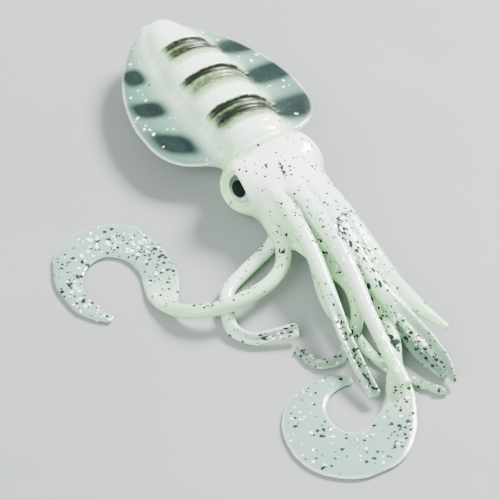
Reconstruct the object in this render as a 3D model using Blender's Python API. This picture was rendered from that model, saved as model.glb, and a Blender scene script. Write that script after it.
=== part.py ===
"""A soft-plastic squid fishing lure, cast in one piece with a set-in eye on each side of its head.

Squid frame: +Y runs to the tip of the mantle, +X to the squid's right, +Z up, and the floor is z = 0.
The mantle's front edge is at y = 0, with the head and the limbs on the -Y side of it.
Routes and stations are in millimetres. Everything is built in metres, and an empty then puts the middle
of the lure's footprint at the origin.
"""

import math

import bmesh
import bpy
import numpy as np
from mathutils import Matrix, Vector

MM = 0.001

# Mantle: (y, half width, half height) down its length, and the height of its axis
MANTLE_PROFILE = [
    (-0.3, 6.9, 5.7), (0.1, 7.6, 6.3), (1.1, 8.1, 6.6), (4.0, 8.5, 6.8), (12.0, 9.0, 6.8), (24.0, 9.1, 6.8),
    (29.0, 8.7, 6.7), (34.0, 7.8, 6.1), (39.0, 6.4, 5.3), (42.0, 5.1, 4.7), (43.8, 4.2, 4.2),
    (44.6, 3.5, 3.6), (45.0, 2.4, 2.5),
]
MANTLE_AXIS_Z = 6.4
MANTLE_SIDES = 24
# Sunk rings across the back at each bar: (offset toward the tip, depth), and how high up the flanks they fade
BAR_ROWS = (10.0, 21.2, 32.4)
RING_PROFILE = [
    (-5.0, 0.0), (-3.8, 0.3), (-2.1, 0.5), (-1.4, 0.9), (-0.7, 0.8), (0.0, 0.4), (0.6, 0.5),
    (1.1, 0.95), (1.6, 0.8), (2.1, 0.05), (3.0, 0.0),
]
RING_FADE_RIGHT = (0.0, 0.35)
RING_FADE_LEFT = (0.35, 0.8)

# Fins: one thin plate through the mantle, widest at FIN_WIDEST_Y, with a fillet where it meets the mantle
FIN_HALF_WIDTH = 18.7
FIN_MIDDLE_X = -0.25
FIN_WIDEST_Y = 17.0
FIN_FRONT, FIN_FRONT_POWER = 28.5, 1.75
FIN_REAR, FIN_REAR_POWER = 15.2, 2.8
FIN_ROOT_Z, FIN_RIM_Z = 6.8, 6.0
FIN_ROOT_THICKNESS, FIN_RIM_THICKNESS = 1.6, 0.8
FIN_FILLET_HEIGHT, FIN_FILLET_WIDTH = 3.6, 1.5
FIN_FILLET_RIGHT = 0.3
FIN_ROWS, FIN_COLUMNS = 20, 9

# Head and arm crown: (y, x, z, half width, half height) of each section, with squared shoulders
HEAD_SECTIONS = [
    (3.0, 0.0, 6.4, 5.6, 5.2), (0.4, 0.1, 6.4, 7.0, 5.9), (-1.6, 0.4, 6.4, 8.0, 6.1),
    (-4.0, 0.1, 6.5, 8.7, 6.4), (-7.5, -0.5, 6.5, 8.9, 6.4), (-11.0, -1.0, 6.5, 8.8, 6.3),
    (-15.0, -1.3, 6.6, 8.6, 5.8),
    (-19.0, -1.3, 6.6, 8.3, 5.1), (-23.0, -1.1, 6.6, 7.2, 4.2), (-27.0, -0.8, 6.5, 5.6, 3.3),
    (-31.0, -0.6, 6.3, 3.8, 2.3), (-34.0, -0.6, 6.0, 2.2, 1.2),
]
HEAD_SQUARENESS = 2.3
HEAD_SIDES = 20

# Eyes: on each side the middle of a ball, the front of the lens set in it, and the way the lens faces
EYES = {
    "left": ((-7.1, -6.9, 6.9), (-10.3, -8.0, 8.3), (-0.905, -0.292, 0.299)),
    "right": ((4.8, -4.9, 6.9), (8.2, -5.4, 8.3), (0.949, -0.032, 0.299)),
}
EYE_BALL_RADII = (5.9, 6.8, 5.8)
EYE_LENS_RADII = (2.9, 2.9, 0.9)
# Socket that flares out over the lens: (height above the lens front, radius)
EYE_SOCKET = [(-0.4, 2.3), (-0.25, 2.9), (0.3, 3.1), (1.6, 3.2), (4.0, 3.4)]
EYE_SIDES = 20
EYE_GAP = 0.3

# Arms: (x, y, z, width, height) along the centre line, from inside the crown to the tip
ARMS = {
    "hook": [
        (-4.0, -13.5, 6.0, 3.2, 2.8), (-6.2, -17.6, 3.8, 3.2, 2.6), (-9.6, -20.2, 2.6, 3.2, 2.4),
        (-13.9, -22.1, 2.2, 3.2, 2.4), (-18.3, -24.0, 2.0, 3.2, 2.4), (-23.4, -26.6, 1.6, 3.1, 2.4),
        (-26.6, -32.0, 1.3, 2.9, 2.4), (-27.8, -37.0, 1.3, 2.8, 2.2), (-25.6, -40.9, 1.5, 2.7, 2.0),
        (-21.6, -42.6, 2.1, 2.8, 1.9), (-17.7, -43.9, 2.6, 3.0, 1.9),
    ],
    "curl": [
        (-6.4, -12.0, 7.4, 4.2, 3.2), (-7.2, -18.0, 6.7, 4.8, 3.0), (-6.2, -23.6, 6.0, 5.2, 2.8),
        (-4.6, -29.0, 5.4, 5.2, 2.6), (-3.5, -34.6, 4.8, 4.4, 2.5), (-3.2, -39.5, 4.4, 3.4, 2.4),
        (-4.4, -44.0, 4.2, 2.9, 2.2), (-7.3, -49.2, 3.8, 2.7, 1.9), (-10.9, -52.6, 2.6, 2.5, 1.4),
        (-14.4, -54.3, 1.7, 2.4, 1.2), (-17.6, -53.4, 1.2, 2.2, 1.0), (-19.2, -50.0, 0.9, 2.0, 0.8),
        (-19.3, -46.4, 0.7, 1.7, 0.7),
    ],
    "long": [
        (-5.4, -12.0, 10.4, 4.0, 3.6), (-6.0, -22.0, 10.0, 3.8, 3.2), (-6.8, -30.3, 8.9, 3.4, 2.9),
        (-8.6, -39.3, 7.1, 3.1, 2.7), (-10.3, -46.4, 6.1, 2.9, 2.4), (-11.9, -52.7, 5.2, 2.9, 2.1),
        (-12.9, -58.8, 4.0, 2.9, 1.9), (-13.8, -66.9, 2.4, 2.8, 1.8),
    ],
    "bowed": [
        (-3.6, -18.0, 5.0, 3.4, 2.8), (-4.0, -25.0, 4.0, 3.4, 2.6), (-5.2, -30.6, 3.2, 3.4, 2.5),
        (-7.2, -36.5, 2.2, 3.3, 2.4), (-8.3, -41.9, 1.5, 3.0, 2.2), (-7.7, -47.5, 1.1, 2.7, 1.8),
        (-7.7, -55.0, 0.8, 2.5, 1.2), (-6.6, -60.5, 0.5, 2.4, 0.8), (-4.6, -65.0, 0.5, 2.4, 0.8),
        (-0.6, -71.6, 0.8, 2.2, 0.9),
    ],
    "crest": [
        (-1.8, -14.0, 11.0, 4.6, 3.8), (-1.7, -23.0, 10.5, 4.4, 3.4), (-2.2, -32.2, 9.8, 3.8, 3.2),
        (-3.2, -40.8, 8.2, 3.3, 3.0), (-5.0, -49.0, 6.9, 3.1, 2.8), (-6.3, -56.5, 5.8, 3.0, 2.5),
        (-7.2, -62.5, 4.8, 3.0, 2.2), (-7.6, -68.4, 3.7, 2.6, 1.8),
    ],
    "flank": [
        (3.6, -14.0, 9.0, 4.8, 4.2), (4.6, -22.0, 8.3, 4.6, 3.8), (4.6, -30.0, 7.2, 4.4, 3.6),
        (4.4, -38.5, 6.1, 4.2, 3.2), (4.2, -46.0, 5.4, 4.2, 2.8), (5.0, -52.0, 4.9, 3.6, 2.2),
        (7.3, -59.2, 4.0, 1.5, 1.3),
    ],
    "outer": [
        (1.8, -16.0, 10.2, 4.4, 3.8), (1.6, -28.0, 9.1, 4.2, 3.4), (0.9, -36.5, 7.8, 3.9, 3.2),
        (0.4, -47.2, 6.2, 3.9, 2.8), (1.3, -54.7, 4.9, 3.9, 2.3), (2.2, -61.5, 3.7, 3.6, 1.9),
        (2.6, -66.0, 2.7, 2.8, 1.6), (1.9, -70.6, 1.8, 1.4, 1.2),
    ],
    "under": [
        (4.0, -16.0, 4.8, 3.2, 2.6), (4.4, -27.0, 4.0, 3.2, 2.6), (4.0, -34.5, 3.4, 3.3, 2.4),
        (3.2, -41.0, 3.0, 3.4, 2.2), (2.2, -47.5, 2.6, 3.6, 2.0), (1.2, -54.0, 2.0, 4.0, 1.7),
        (0.8, -60.0, 1.6, 4.2, 1.4), (1.0, -64.0, 1.3, 3.6, 1.2), (1.5, -68.0, 0.9, 2.2, 0.9),
    ],
}
# Share of the arm where its sucker channel starts, and how far the tip rolls about its own line in degrees
CHANNELS = {"hook": (0.66, 38.0), "curl": (0.66, -30.0), "long": (0.5, 20.0), "outer": (0.55, 30.0)}
CHANNEL_DEPTH = 0.42
CHANNEL_EASE = 0.2

# Tentacles: a tube, (x, y, z), that runs into a flat curled blade, (x, y, width)
TENTACLE_ROOT_WIDTH, TENTACLE_WIDTH = 3.9, 3.0
BLADE_THICKNESS = 1.1
TENTACLES = {
    "left": (
        [
            (-6.8, -6.0, 7.6), (-8.0, -15.0, 6.6), (-9.0, -21.5, 6.1), (-9.8, -25.0, 5.5), (-11.8, -28.2, 4.8),
            (-15.5, -30.8, 4.4), (-21.2, -32.4, 4.3), (-27.5, -32.6, 4.3), (-31.5, -30.8, 3.5),
            (-34.6, -27.6, 2.3),
        ],
        [
            (-35.4, -24.0, 4.6), (-34.8, -20.8, 6.6), (-33.2, -17.0, 7.6), (-32.0, -12.5, 8.4),
            (-31.9, -7.5, 9.4), (-34.0, -2.8, 10.4), (-38.5, -0.5, 10.0), (-43.5, -1.5, 9.0),
            (-47.6, -5.0, 7.4), (-49.7, -10.0, 6.2), (-49.6, -15.5, 4.8), (-48.2, -19.0, 3.6),
            (-46.6, -21.2, 2.6),
        ],
    ),
    "right": (
        [
            (2.2, -16.0, 6.0), (1.9, -24.0, 4.9), (1.4, -30.0, 4.4), (0.6, -37.0, 4.0), (-0.5, -44.0, 3.6),
            (-1.8, -52.0, 3.1), (-3.6, -57.2, 2.8), (-5.9, -61.5, 2.5),
        ],
        [
            (-7.6, -65.0, 4.6), (-9.0, -68.4, 6.0), (-11.2, -71.5, 7.4), (-14.5, -75.0, 9.2),
            (-19.0, -77.6, 11.2), (-24.0, -77.4, 12.6), (-27.8, -74.2, 12.6), (-28.9, -69.5, 11.2),
            (-27.9, -64.5, 9.4), (-25.2, -60.8, 7.6), (-21.5, -58.8, 5.6), (-17.5, -58.4, 3.8),
            (-14.5, -59.4, 2.2),
        ],
    ),
}
# Height and thickness of the first blade stations, where the tube comes down and flattens
BLADE_LANDING = {"left": [(1.3, 1.9), (0.8, 1.3)], "right": [(2.1, 1.5), (1.3, 1.2), (0.8, 1.1)]}

LIMB_STEP = 2.9
LIMB_SIDES = 10


def clear_scene():
    for obj in list(bpy.data.objects):
        bpy.data.objects.remove(obj)


def material(name, colour, roughness):
    made = bpy.data.materials.new(name)
    made.use_nodes = True
    shader = made.node_tree.nodes["Principled BSDF"]
    shader.inputs["Base Color"].default_value = (*colour, 1.0)
    shader.inputs["Roughness"].default_value = roughness
    shader.inputs["Metallic"].default_value = 0.0
    return made


def smooth(points, step):
    """Rows at even steps along the smooth curve through the points. Columns after the third are sizes."""
    rows = np.array(points, float)
    along = np.concatenate([[0.0], np.cumsum(np.linalg.norm(np.diff(rows[:, :3], axis=0), axis=1))])
    slopes = np.gradient(rows, along, axis=0)
    count = max(2, round(along[-1] / step))
    made = []
    for s in np.linspace(0.0, along[-1], count + 1):
        i = min(int(np.searchsorted(along, s, side="right")) - 1, len(rows) - 2)
        gap = along[i + 1] - along[i]
        t = (s - along[i]) / gap
        made.append(
            (2 * t**3 - 3 * t**2 + 1) * rows[i]
            + (t**3 - 2 * t**2 + t) * gap * slopes[i]
            + (3 * t**2 - 2 * t**3) * rows[i + 1]
            + (t**3 - t**2) * gap * slopes[i + 1]
        )
    return np.array(made)


def ease(low, high, x):
    t = min(max((x - low) / (high - low), 0.0), 1.0)
    return t * t * (3 - 2 * t)


def new_object(name, mesh, collection):
    obj = bpy.data.objects.new(name, mesh)
    collection.objects.link(obj)
    return obj


def loft(name, rings, collection):
    """A closed mesh over rings of points in millimetres, with nothing below the floor."""
    cage = bmesh.new()
    made = [[cage.verts.new((x * MM, y * MM, max(z, 0.0) * MM)) for x, y, z in ring] for ring in rings]
    for before, after in zip(made, made[1:]):
        for k in range(len(before)):
            following = (k + 1) % len(before)
            cage.faces.new((before[k], before[following], after[following], after[k]))
    cage.faces.new(reversed(made[0]))
    cage.faces.new(made[-1])
    bmesh.ops.recalc_face_normals(cage, faces=cage.faces)
    mesh = bpy.data.meshes.new(name)
    cage.to_mesh(mesh)
    cage.free()
    return new_object(name, mesh, collection)


def ellipsoid(name, centre, radii, facing, collection):
    """A ball with the given radii in millimetres, its third axis turned to face a direction."""
    ball = bmesh.new()
    bmesh.ops.create_uvsphere(ball, u_segments=20, v_segments=12, radius=MM)
    bmesh.ops.scale(ball, vec=radii, verts=ball.verts)
    turn = Vector(facing).to_track_quat("Z", "Y").to_matrix().to_4x4()
    ball.transform(Matrix.Translation(Vector(centre) * MM) @ turn)
    mesh = bpy.data.meshes.new(name)
    ball.to_mesh(mesh)
    ball.free()
    return new_object(name, mesh, collection)


def ring_relief(y):
    """How far the mantle's back sinks at y."""
    offsets, depths = zip(*RING_PROFILE)
    return sum(float(np.interp(y - row, offsets, depths)) for row in BAR_ROWS)


def mantle_section(y):
    """Half the mantle's width and half its height at y."""
    at, widths, heights = zip(*MANTLE_PROFILE)
    return float(np.interp(y, at, widths)), float(np.interp(y, at, heights))


def mantle(collection):
    rows = {row[0] for row in MANTLE_PROFILE} | {round(row + off, 2) for row in BAR_ROWS for off, _ in RING_PROFILE}
    rings = []
    for y in sorted(rows):
        half_width, half_height = mantle_section(y)
        ring = []
        for k in range(MANTLE_SIDES):
            c, s = (f(math.tau * k / MANTLE_SIDES) for f in (math.cos, math.sin))
            sunk = ring_relief(y) * ease(*(RING_FADE_RIGHT if c > 0 else RING_FADE_LEFT), s)
            ring.append(((half_width - sunk) * c, y, MANTLE_AXIS_Z + (half_height - sunk) * s))
        rings.append(ring)
    return loft("mantle", rings, collection)


def fin_half_width(y):
    reach, power = (FIN_FRONT, FIN_FRONT_POWER) if y > FIN_WIDEST_Y else (FIN_REAR, FIN_REAR_POWER)
    off = min(abs(y - FIN_WIDEST_Y) / reach, 1.0)
    return FIN_HALF_WIDTH * (1 - off**power) ** (1 / power)


def fins(collection):
    rings = []
    for k in range(FIN_ROWS + 1):
        turn = math.pi * (0.03 + 0.94 * k / FIN_ROWS)
        y = FIN_WIDEST_Y - math.cos(turn) * (FIN_REAR if turn < math.pi / 2 else FIN_FRONT)
        half = fin_half_width(y)
        upper, lower = [], []
        for c in range(-FIN_COLUMNS, FIN_COLUMNS + 1):
            share = math.sin(math.pi / 2 * c / FIN_COLUMNS)
            x = half * share
            out = ease(0.3, 1.0, abs(x) / FIN_HALF_WIDTH)
            z = FIN_ROOT_Z + (FIN_RIM_Z - FIN_ROOT_Z) * out
            thick = FIN_ROOT_THICKNESS + (FIN_RIM_THICKNESS - FIN_ROOT_THICKNESS) * out
            past = max(abs(x) - mantle_section(y)[0] + 0.6, 0.0)
            fillet = FIN_FILLET_HEIGHT * (FIN_FILLET_RIGHT if x > 0 else 1.0)
            thick += fillet * math.exp(-past / FIN_FILLET_WIDTH)
            rim = 0.25 + 0.75 * math.sqrt(max(1.0 - share**8, 0.0))
            upper.append((FIN_MIDDLE_X + x, y, z + thick / 2 * rim))
            lower.append((FIN_MIDDLE_X + x, y, z - thick / 2 * rim))
        rings.append(upper + lower[::-1])
    return loft("fins", rings, collection)


def head(collection):
    rings = []
    for y, x, z, half_width, half_height in HEAD_SECTIONS:
        ring = []
        for k in range(HEAD_SIDES):
            c, s = (f(math.tau * k / HEAD_SIDES) for f in (math.cos, math.sin))
            reach = (abs(c) ** HEAD_SQUARENESS + abs(s) ** HEAD_SQUARENESS) ** (-1 / HEAD_SQUARENESS)
            ring.append((x + half_width * c * reach, y, z + half_height * s * reach))
        rings.append(ring)
    return loft("head", rings, collection)


def limb(name, rows, collection):
    """A tube over rows of (x, y, z, width, height, channel, roll): channel sinks the middle of its back."""
    heading = np.gradient(rows[:, :3], axis=0)
    rings = []
    for row, ahead in zip(rows, heading):
        place, (width, height, channel, roll) = Vector(row[:3]), row[3:]
        along = Vector(ahead).normalized()
        across = along.cross(Vector((0, 0, 1))).normalized()
        turn = Matrix.Rotation(math.radians(roll), 3, along)
        across = turn @ across
        up = across.cross(along)
        ring = []
        for k in range(LIMB_SIDES):
            angle = math.tau * k / LIMB_SIDES + math.tau / 4
            a, b = width / 2 * math.cos(angle), height / 2 * math.sin(angle)
            if b > 0:
                b -= channel * height * math.exp(-((a / (0.24 * width)) ** 2))
            ring.append(place + across * a + up * b)
        rings.append(ring)
    for end, inner, sign in ((0, 1, 1), (-1, -2, -1)):
        middle = sum(rings[end], Vector()) / LIMB_SIDES
        out = (middle - sum(rings[inner], Vector()) / LIMB_SIDES).normalized() * 0.4
        cap = [middle + out + (p - middle) * 0.6 for p in rings[end]]
        rings = [cap, *rings] if sign > 0 else [*rings, cap]
    return loft(name, rings, collection)


def arm(name, collection):
    channel_from, tip_roll = CHANNELS.get(name, (1.0, 0.0))
    route = smooth(ARMS[name], LIMB_STEP)
    rows = []
    for share, station in zip(np.linspace(0.0, 1.0, len(route)), route):
        channel = CHANNEL_DEPTH * ease(channel_from, channel_from + CHANNEL_EASE, share)
        rows.append((*station, channel, tip_roll * ease(0.35, 1.0, share)))
    return limb("arm_" + name, np.array(rows), collection)


def tentacle(side, collection):
    tube, blade = TENTACLES[side]
    widths = np.interp(range(len(tube)), (1, 5), (TENTACLE_ROOT_WIDTH, TENTACLE_WIDTH))
    stations = [(*place, width, width) for place, width in zip(tube, widths)]
    landing = BLADE_LANDING[side]
    for k, (x, y, width) in enumerate(blade):
        z, thickness = landing[k] if k < len(landing) else (BLADE_THICKNESS / 2, BLADE_THICKNESS)
        stations.append((x, y, z, width, thickness))
    route = smooth(stations, LIMB_STEP)
    flat = np.zeros((len(route), 2))
    return limb("tentacle_" + side, np.hstack([route, flat]), collection)


def socket(name, side, collection):
    """A round plug, to be cut out, that opens outward from just behind the front of the lens."""
    _, front, facing = (Vector(v) for v in EYES[side])
    turn = facing.to_track_quat("Z", "Y").to_matrix()
    rings = []
    for height, radius in EYE_SOCKET:
        angles = [math.tau * k / EYE_SIDES for k in range(EYE_SIDES)]
        rings.append([front + turn @ Vector((radius * math.cos(a), radius * math.sin(a), height)) for a in angles])
    return loft(name, rings, collection)


def lens(name, side, grow, collection):
    _, front, facing = (Vector(v) for v in EYES[side])
    radii = [radius + grow for radius in EYE_LENS_RADII]
    return ellipsoid(name, front - facing.normalized() * EYE_LENS_RADII[2], radii, facing, collection)


def combine(body, operation, others):
    """Applies one Boolean of the body with every object of a collection, then removes those objects."""
    step = body.modifiers.new(operation.lower(), "BOOLEAN")
    step.operation = operation
    step.operand_type = "COLLECTION"
    step.collection = others
    step.solver = "EXACT"
    bpy.context.view_layer.update()
    graph = bpy.context.evaluated_depsgraph_get()
    joined = bpy.data.meshes.new_from_object(body.evaluated_get(graph))
    body.modifiers.clear()
    body.data = joined
    for obj in list(others.objects):
        bpy.data.objects.remove(obj)


def build():
    clear_scene()
    scene = bpy.context.scene
    lure, joined, cutters = (bpy.data.collections.new(n) for n in ("squid_lure", "joined", "cutters"))
    for collection in (lure, joined, cutters):
        scene.collection.children.link(collection)

    body = mantle(lure)
    body.name = "squid_body"
    fins(joined)
    head(joined)
    for side in EYES:
        ellipsoid("eye_ball", EYES[side][0], EYE_BALL_RADII, (0, 0, 1), joined)
    for name in ARMS:
        arm(name, joined)
    for side in TENTACLES:
        tentacle(side, joined)
    combine(body, "UNION", joined)

    for side in EYES:
        socket("socket", side, cutters)
        lens("seat", side, EYE_GAP, cutters)
    combine(body, "DIFFERENCE", cutters)
    for helper in (joined, cutters):
        bpy.data.collections.remove(helper)

    body.data.materials.clear()
    body.data.materials.append(material("pearl_plastic", (0.86, 0.90, 0.86), 0.28))
    body.data.shade_smooth()
    body.data.set_sharp_from_angle(angle=math.radians(40))
    parts = [body]
    for side in EYES:
        name = "eye_" + side
        eye = lens(name, side, 0.0, lure)
        eye.data.materials.append(material(name, (0.03, 0.04, 0.04), 0.12))
        eye.data.shade_smooth()
        parts.append(eye)

    corners = [Vector(corner) for corner in body.bound_box]
    middle = sum(corners, Vector()) / len(corners)
    carrier = bpy.data.objects.new("lure", None)
    lure.objects.link(carrier)
    carrier.location = (-middle.x, -middle.y, 0.0)
    for part in parts:
        part.parent = carrier


build()
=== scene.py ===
"""Looks for the soft plastic squid lure: its skin, eyes, glitter and flakes, and the studio around it.

The shapes are made in the squid frame, in millimetres: +Y runs to the tip of the mantle, the mantle's
front edge is at y = 0 and the floor is z = 0. They are moved to the row frame, in metres, at the end.
"""

import math

import bmesh
import bpy
import numpy as np
from mathutils import Matrix, Vector
from mathutils.kdtree import KDTree


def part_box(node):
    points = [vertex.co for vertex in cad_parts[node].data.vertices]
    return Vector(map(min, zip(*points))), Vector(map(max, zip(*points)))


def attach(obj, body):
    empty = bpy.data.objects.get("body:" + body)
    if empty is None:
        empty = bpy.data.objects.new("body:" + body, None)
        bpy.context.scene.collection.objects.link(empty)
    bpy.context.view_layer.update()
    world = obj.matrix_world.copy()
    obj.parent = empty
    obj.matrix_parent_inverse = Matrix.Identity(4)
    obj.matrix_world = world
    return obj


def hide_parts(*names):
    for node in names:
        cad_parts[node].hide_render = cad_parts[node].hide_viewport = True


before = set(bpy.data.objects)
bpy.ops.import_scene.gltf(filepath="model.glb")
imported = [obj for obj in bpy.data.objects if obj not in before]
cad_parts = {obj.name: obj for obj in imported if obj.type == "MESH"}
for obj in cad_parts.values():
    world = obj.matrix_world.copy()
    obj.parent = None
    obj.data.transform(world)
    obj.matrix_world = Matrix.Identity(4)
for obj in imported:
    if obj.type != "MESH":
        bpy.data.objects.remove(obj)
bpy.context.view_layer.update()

MM = 0.001

# Mantle: (y, half width, half height) down its length, and the height of its axis
MANTLE_PROFILE = [
    (-0.3, 6.9, 5.7), (0.1, 7.6, 6.3), (1.1, 8.1, 6.6), (4, 8.5, 6.8), (12, 9, 6.8), (24, 9.1, 6.8),
    (29, 8.7, 6.7), (34, 7.8, 6.1), (39, 6.4, 5.3), (42, 5.1, 4.7), (43.8, 4.2, 4.2),
    (44.6, 3.5, 3.6), (45, 2.4, 2.5),
]
MANTLE_AXIS_Z = 6.4
MANTLE_STEP, MANTLE_SIDES = 0.25, 96
# Sunk rings at each bar: (offset toward the tip, depth). They fade at the mantle's front and tip, some radii
# out from its axis and down the flanks
BAR_ROWS = (10, 21.2, 32.4)
RING_PROFILE = [
    (-5.4, 0), (-4.9, 0.16), (-3.4, 0.26), (-2.3, 0.42), (-1.6, 0.86), (-0.9, 0.9), (-0.45, 0.42),
    (0.1, 0.34), (0.6, 0.5), (1, 0.92), (1.7, 0.88), (2.1, 0.06), (2.6, 0),
]
RINGS_FRONT, RINGS_TIP = (-0.6, 0.2), (45.5, 43.5)
RINGS_OUT = (1.3, 1.1)
RING_FADE_RIGHT = (0, 0.35)
RING_FADE_LEFT = (0.3, 0.75)
# Soft creases between the bars: (y, depth, width)
CREASES = [
    (2.9, 0.14, 0.35), (13.6, 0.12, 0.4), (15.2, 0.08, 0.35), (17.6, 0.16, 0.35), (24.6, 0.1, 0.35),
    (26.1, 0.12, 0.4), (28.4, 0.18, 0.35), (35.9, 0.1, 0.4), (37.8, 0.12, 0.4), (40.2, 0.1, 0.35),
]
# How dark each airbrushed bar is: (offset toward the tip, darkness), none of them past the reach
BAR_REACH = 6
BAR_SHADES = {
    10: [
        (-5.2, 0), (-4.9, 0.22), (-3.6, 0.4), (-2.9, 0.6), (-2.2, 0.85), (-1.2, 1), (-0.5, 0.9), (-0.1, 0.58),
        (0.35, 0.58), (0.7, 0.9), (1.3, 1), (1.95, 0.9), (2.2, 0),
    ],
    21.2: [
        (-5.2, 0), (-4.9, 0.14), (-3.4, 0.3), (-2.4, 0.5), (-1.4, 0.6), (-0.4, 0.5), (0.2, 0.55), (0.6, 0.95),
        (1.95, 1), (2.2, 0),
    ],
    32.4: [
        (-5.2, 0), (-4.9, 0.16), (-3.2, 0.3), (-2.6, 0.52), (-2, 0.8), (-1.2, 0.9), (-0.5, 0.8), (-0.1, 0.54),
        (0.3, 0.54), (0.7, 0.8), (1.6, 0.9), (2, 0.8), (2.25, 0),
    ],
}
# Where each bar fades out on the left, in degrees round the mantle from its right-hand side
BAR_ENDS = {10: (158, 112), 21.2: (156, 108), 32.4: (146, 98)}

# Creases across the neck: (y, depth, width), how they bow at each side, and what they are pressed towards
NECK_CREASES = [(-2.1, 1.3, 0.55), (-3.5, 0.25, 0.4), (-0.6, 0.3, 0.35)]
NECK_BOW_RIGHT, NECK_BOW_LEFT = 0.04, 0.008
NECK_MIDDLE = (0.3, 0, MANTLE_AXIS_Z)
NECK_FADE_Z = (7, 10)

# Fins
FIN_HALF_WIDTH = 18.6
FIN_MIDDLE_X = -0.25
FIN_WIDEST_Y = 17
FIN_FRONT, FIN_FRONT_POWER = 28.5, 1.75
FIN_REAR, FIN_REAR_POWER = 15.2, 2.8
FIN_ROOT_Z, FIN_RIM_Z = 6.8, 6
FIN_ROOT_THICKNESS, FIN_RIM_THICKNESS = 1.6, 0.8
FIN_TAPER = (0.3, 1)
FIN_RINGS, FIN_POINTS, FIN_END = 90, 81, 0.015
# Rounded edge: its thickness as a share, and the power that keeps it near the rim
FIN_EDGE_SHARE, FIN_EDGE_POWER = 0.25, 16
# Fillet to the mantle. It starts inside the mantle's side, and the right one is a share of the left one
FIN_FILLET_HEIGHT, FIN_FILLET_WIDTH, FIN_FILLET_START = 3.6, 1.5, 0.6
FIN_FILLET_RIGHT = 0.3

# Airbrushed blotches on the fins: (x, y, half width, half length, slant)
BLOTCH_EDGE, BLOTCH_SQUARENESS = (1.3, 0.58), 3
FIN_BLOTCHES = [
    (14, 32.3, 8, 3, 0), (14.5, 21.7, 8.5, 3.4, 0.1), (14, 9.6, 8, 4.1, 0),
    (-11.5, 33.5, 2.3, 3.2, -0.3), (-13.5, 23.4, 3.3, 3.1, -0.55), (-13.9, 11.6, 3.7, 4.2, -0.9),
]

# Head and arm crown: (y, x, z, half width, half height)
HEAD_SECTIONS = [
    (3, 0, 6.4, 5.6, 5.2), (0.4, 0.1, 6.4, 7, 5.9), (-1.6, 0.4, 6.4, 8, 6.1),
    (-4, 0.1, 6.5, 8.7, 6.4), (-7.5, -0.5, 6.5, 8.9, 6.4), (-11, -1, 6.5, 8.8, 6.3),
    (-15, -1.3, 6.6, 8.6, 5.8), (-19, -1.3, 6.6, 8.3, 5.1), (-23, -1.1, 6.6, 7.2, 4.2),
    (-27, -0.8, 6.5, 5.6, 3.3), (-31, -0.6, 6.3, 3.8, 2.3), (-34, -0.6, 6, 2.2, 1.2),
]
HEAD_SQUARENESS = 2.3
HEAD_RINGS, HEAD_SIDES = 90, 64

# Eyes: on each side the middle of a ball, the front of the lens set in it, and the way the lens faces
EYES = {
    "left": ((-7.1, -6.9, 6.9), (-10.3, -8, 8.3), (-0.905, -0.292, 0.299)),
    "right": ((4.8, -4.9, 6.9), (8.2, -5.4, 8.3), (0.949, -0.032, 0.299)),
}
EYE_BALL_RADII = (5.9, 6.8, 5.8)
EYE_LENS_RADIUS, EYE_LENS_HALF = 3.1, 0.8
EYE_SOLID_HALF = 0.9
EYE_PUPIL_RADIUS = 1.82
# Socket: its floor behind the front of the lens, its flare, and how far round and behind the lens it goes
SOCKET_FLOOR, SOCKET_SLOPE = -0.62, 0.95
SOCKET_REACH, SOCKET_BEHIND = 6, -3
# Brow: its height over the lens, its rise, and the line, slant, bend and softness of its edge
BROW_HEIGHT, BROW_RISE = 0.6, 0.8
BROW_LINE, BROW_SLANT, BROW_BEND, BROW_FADE = 2.42, 0.6, 0.06, 0.12

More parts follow.
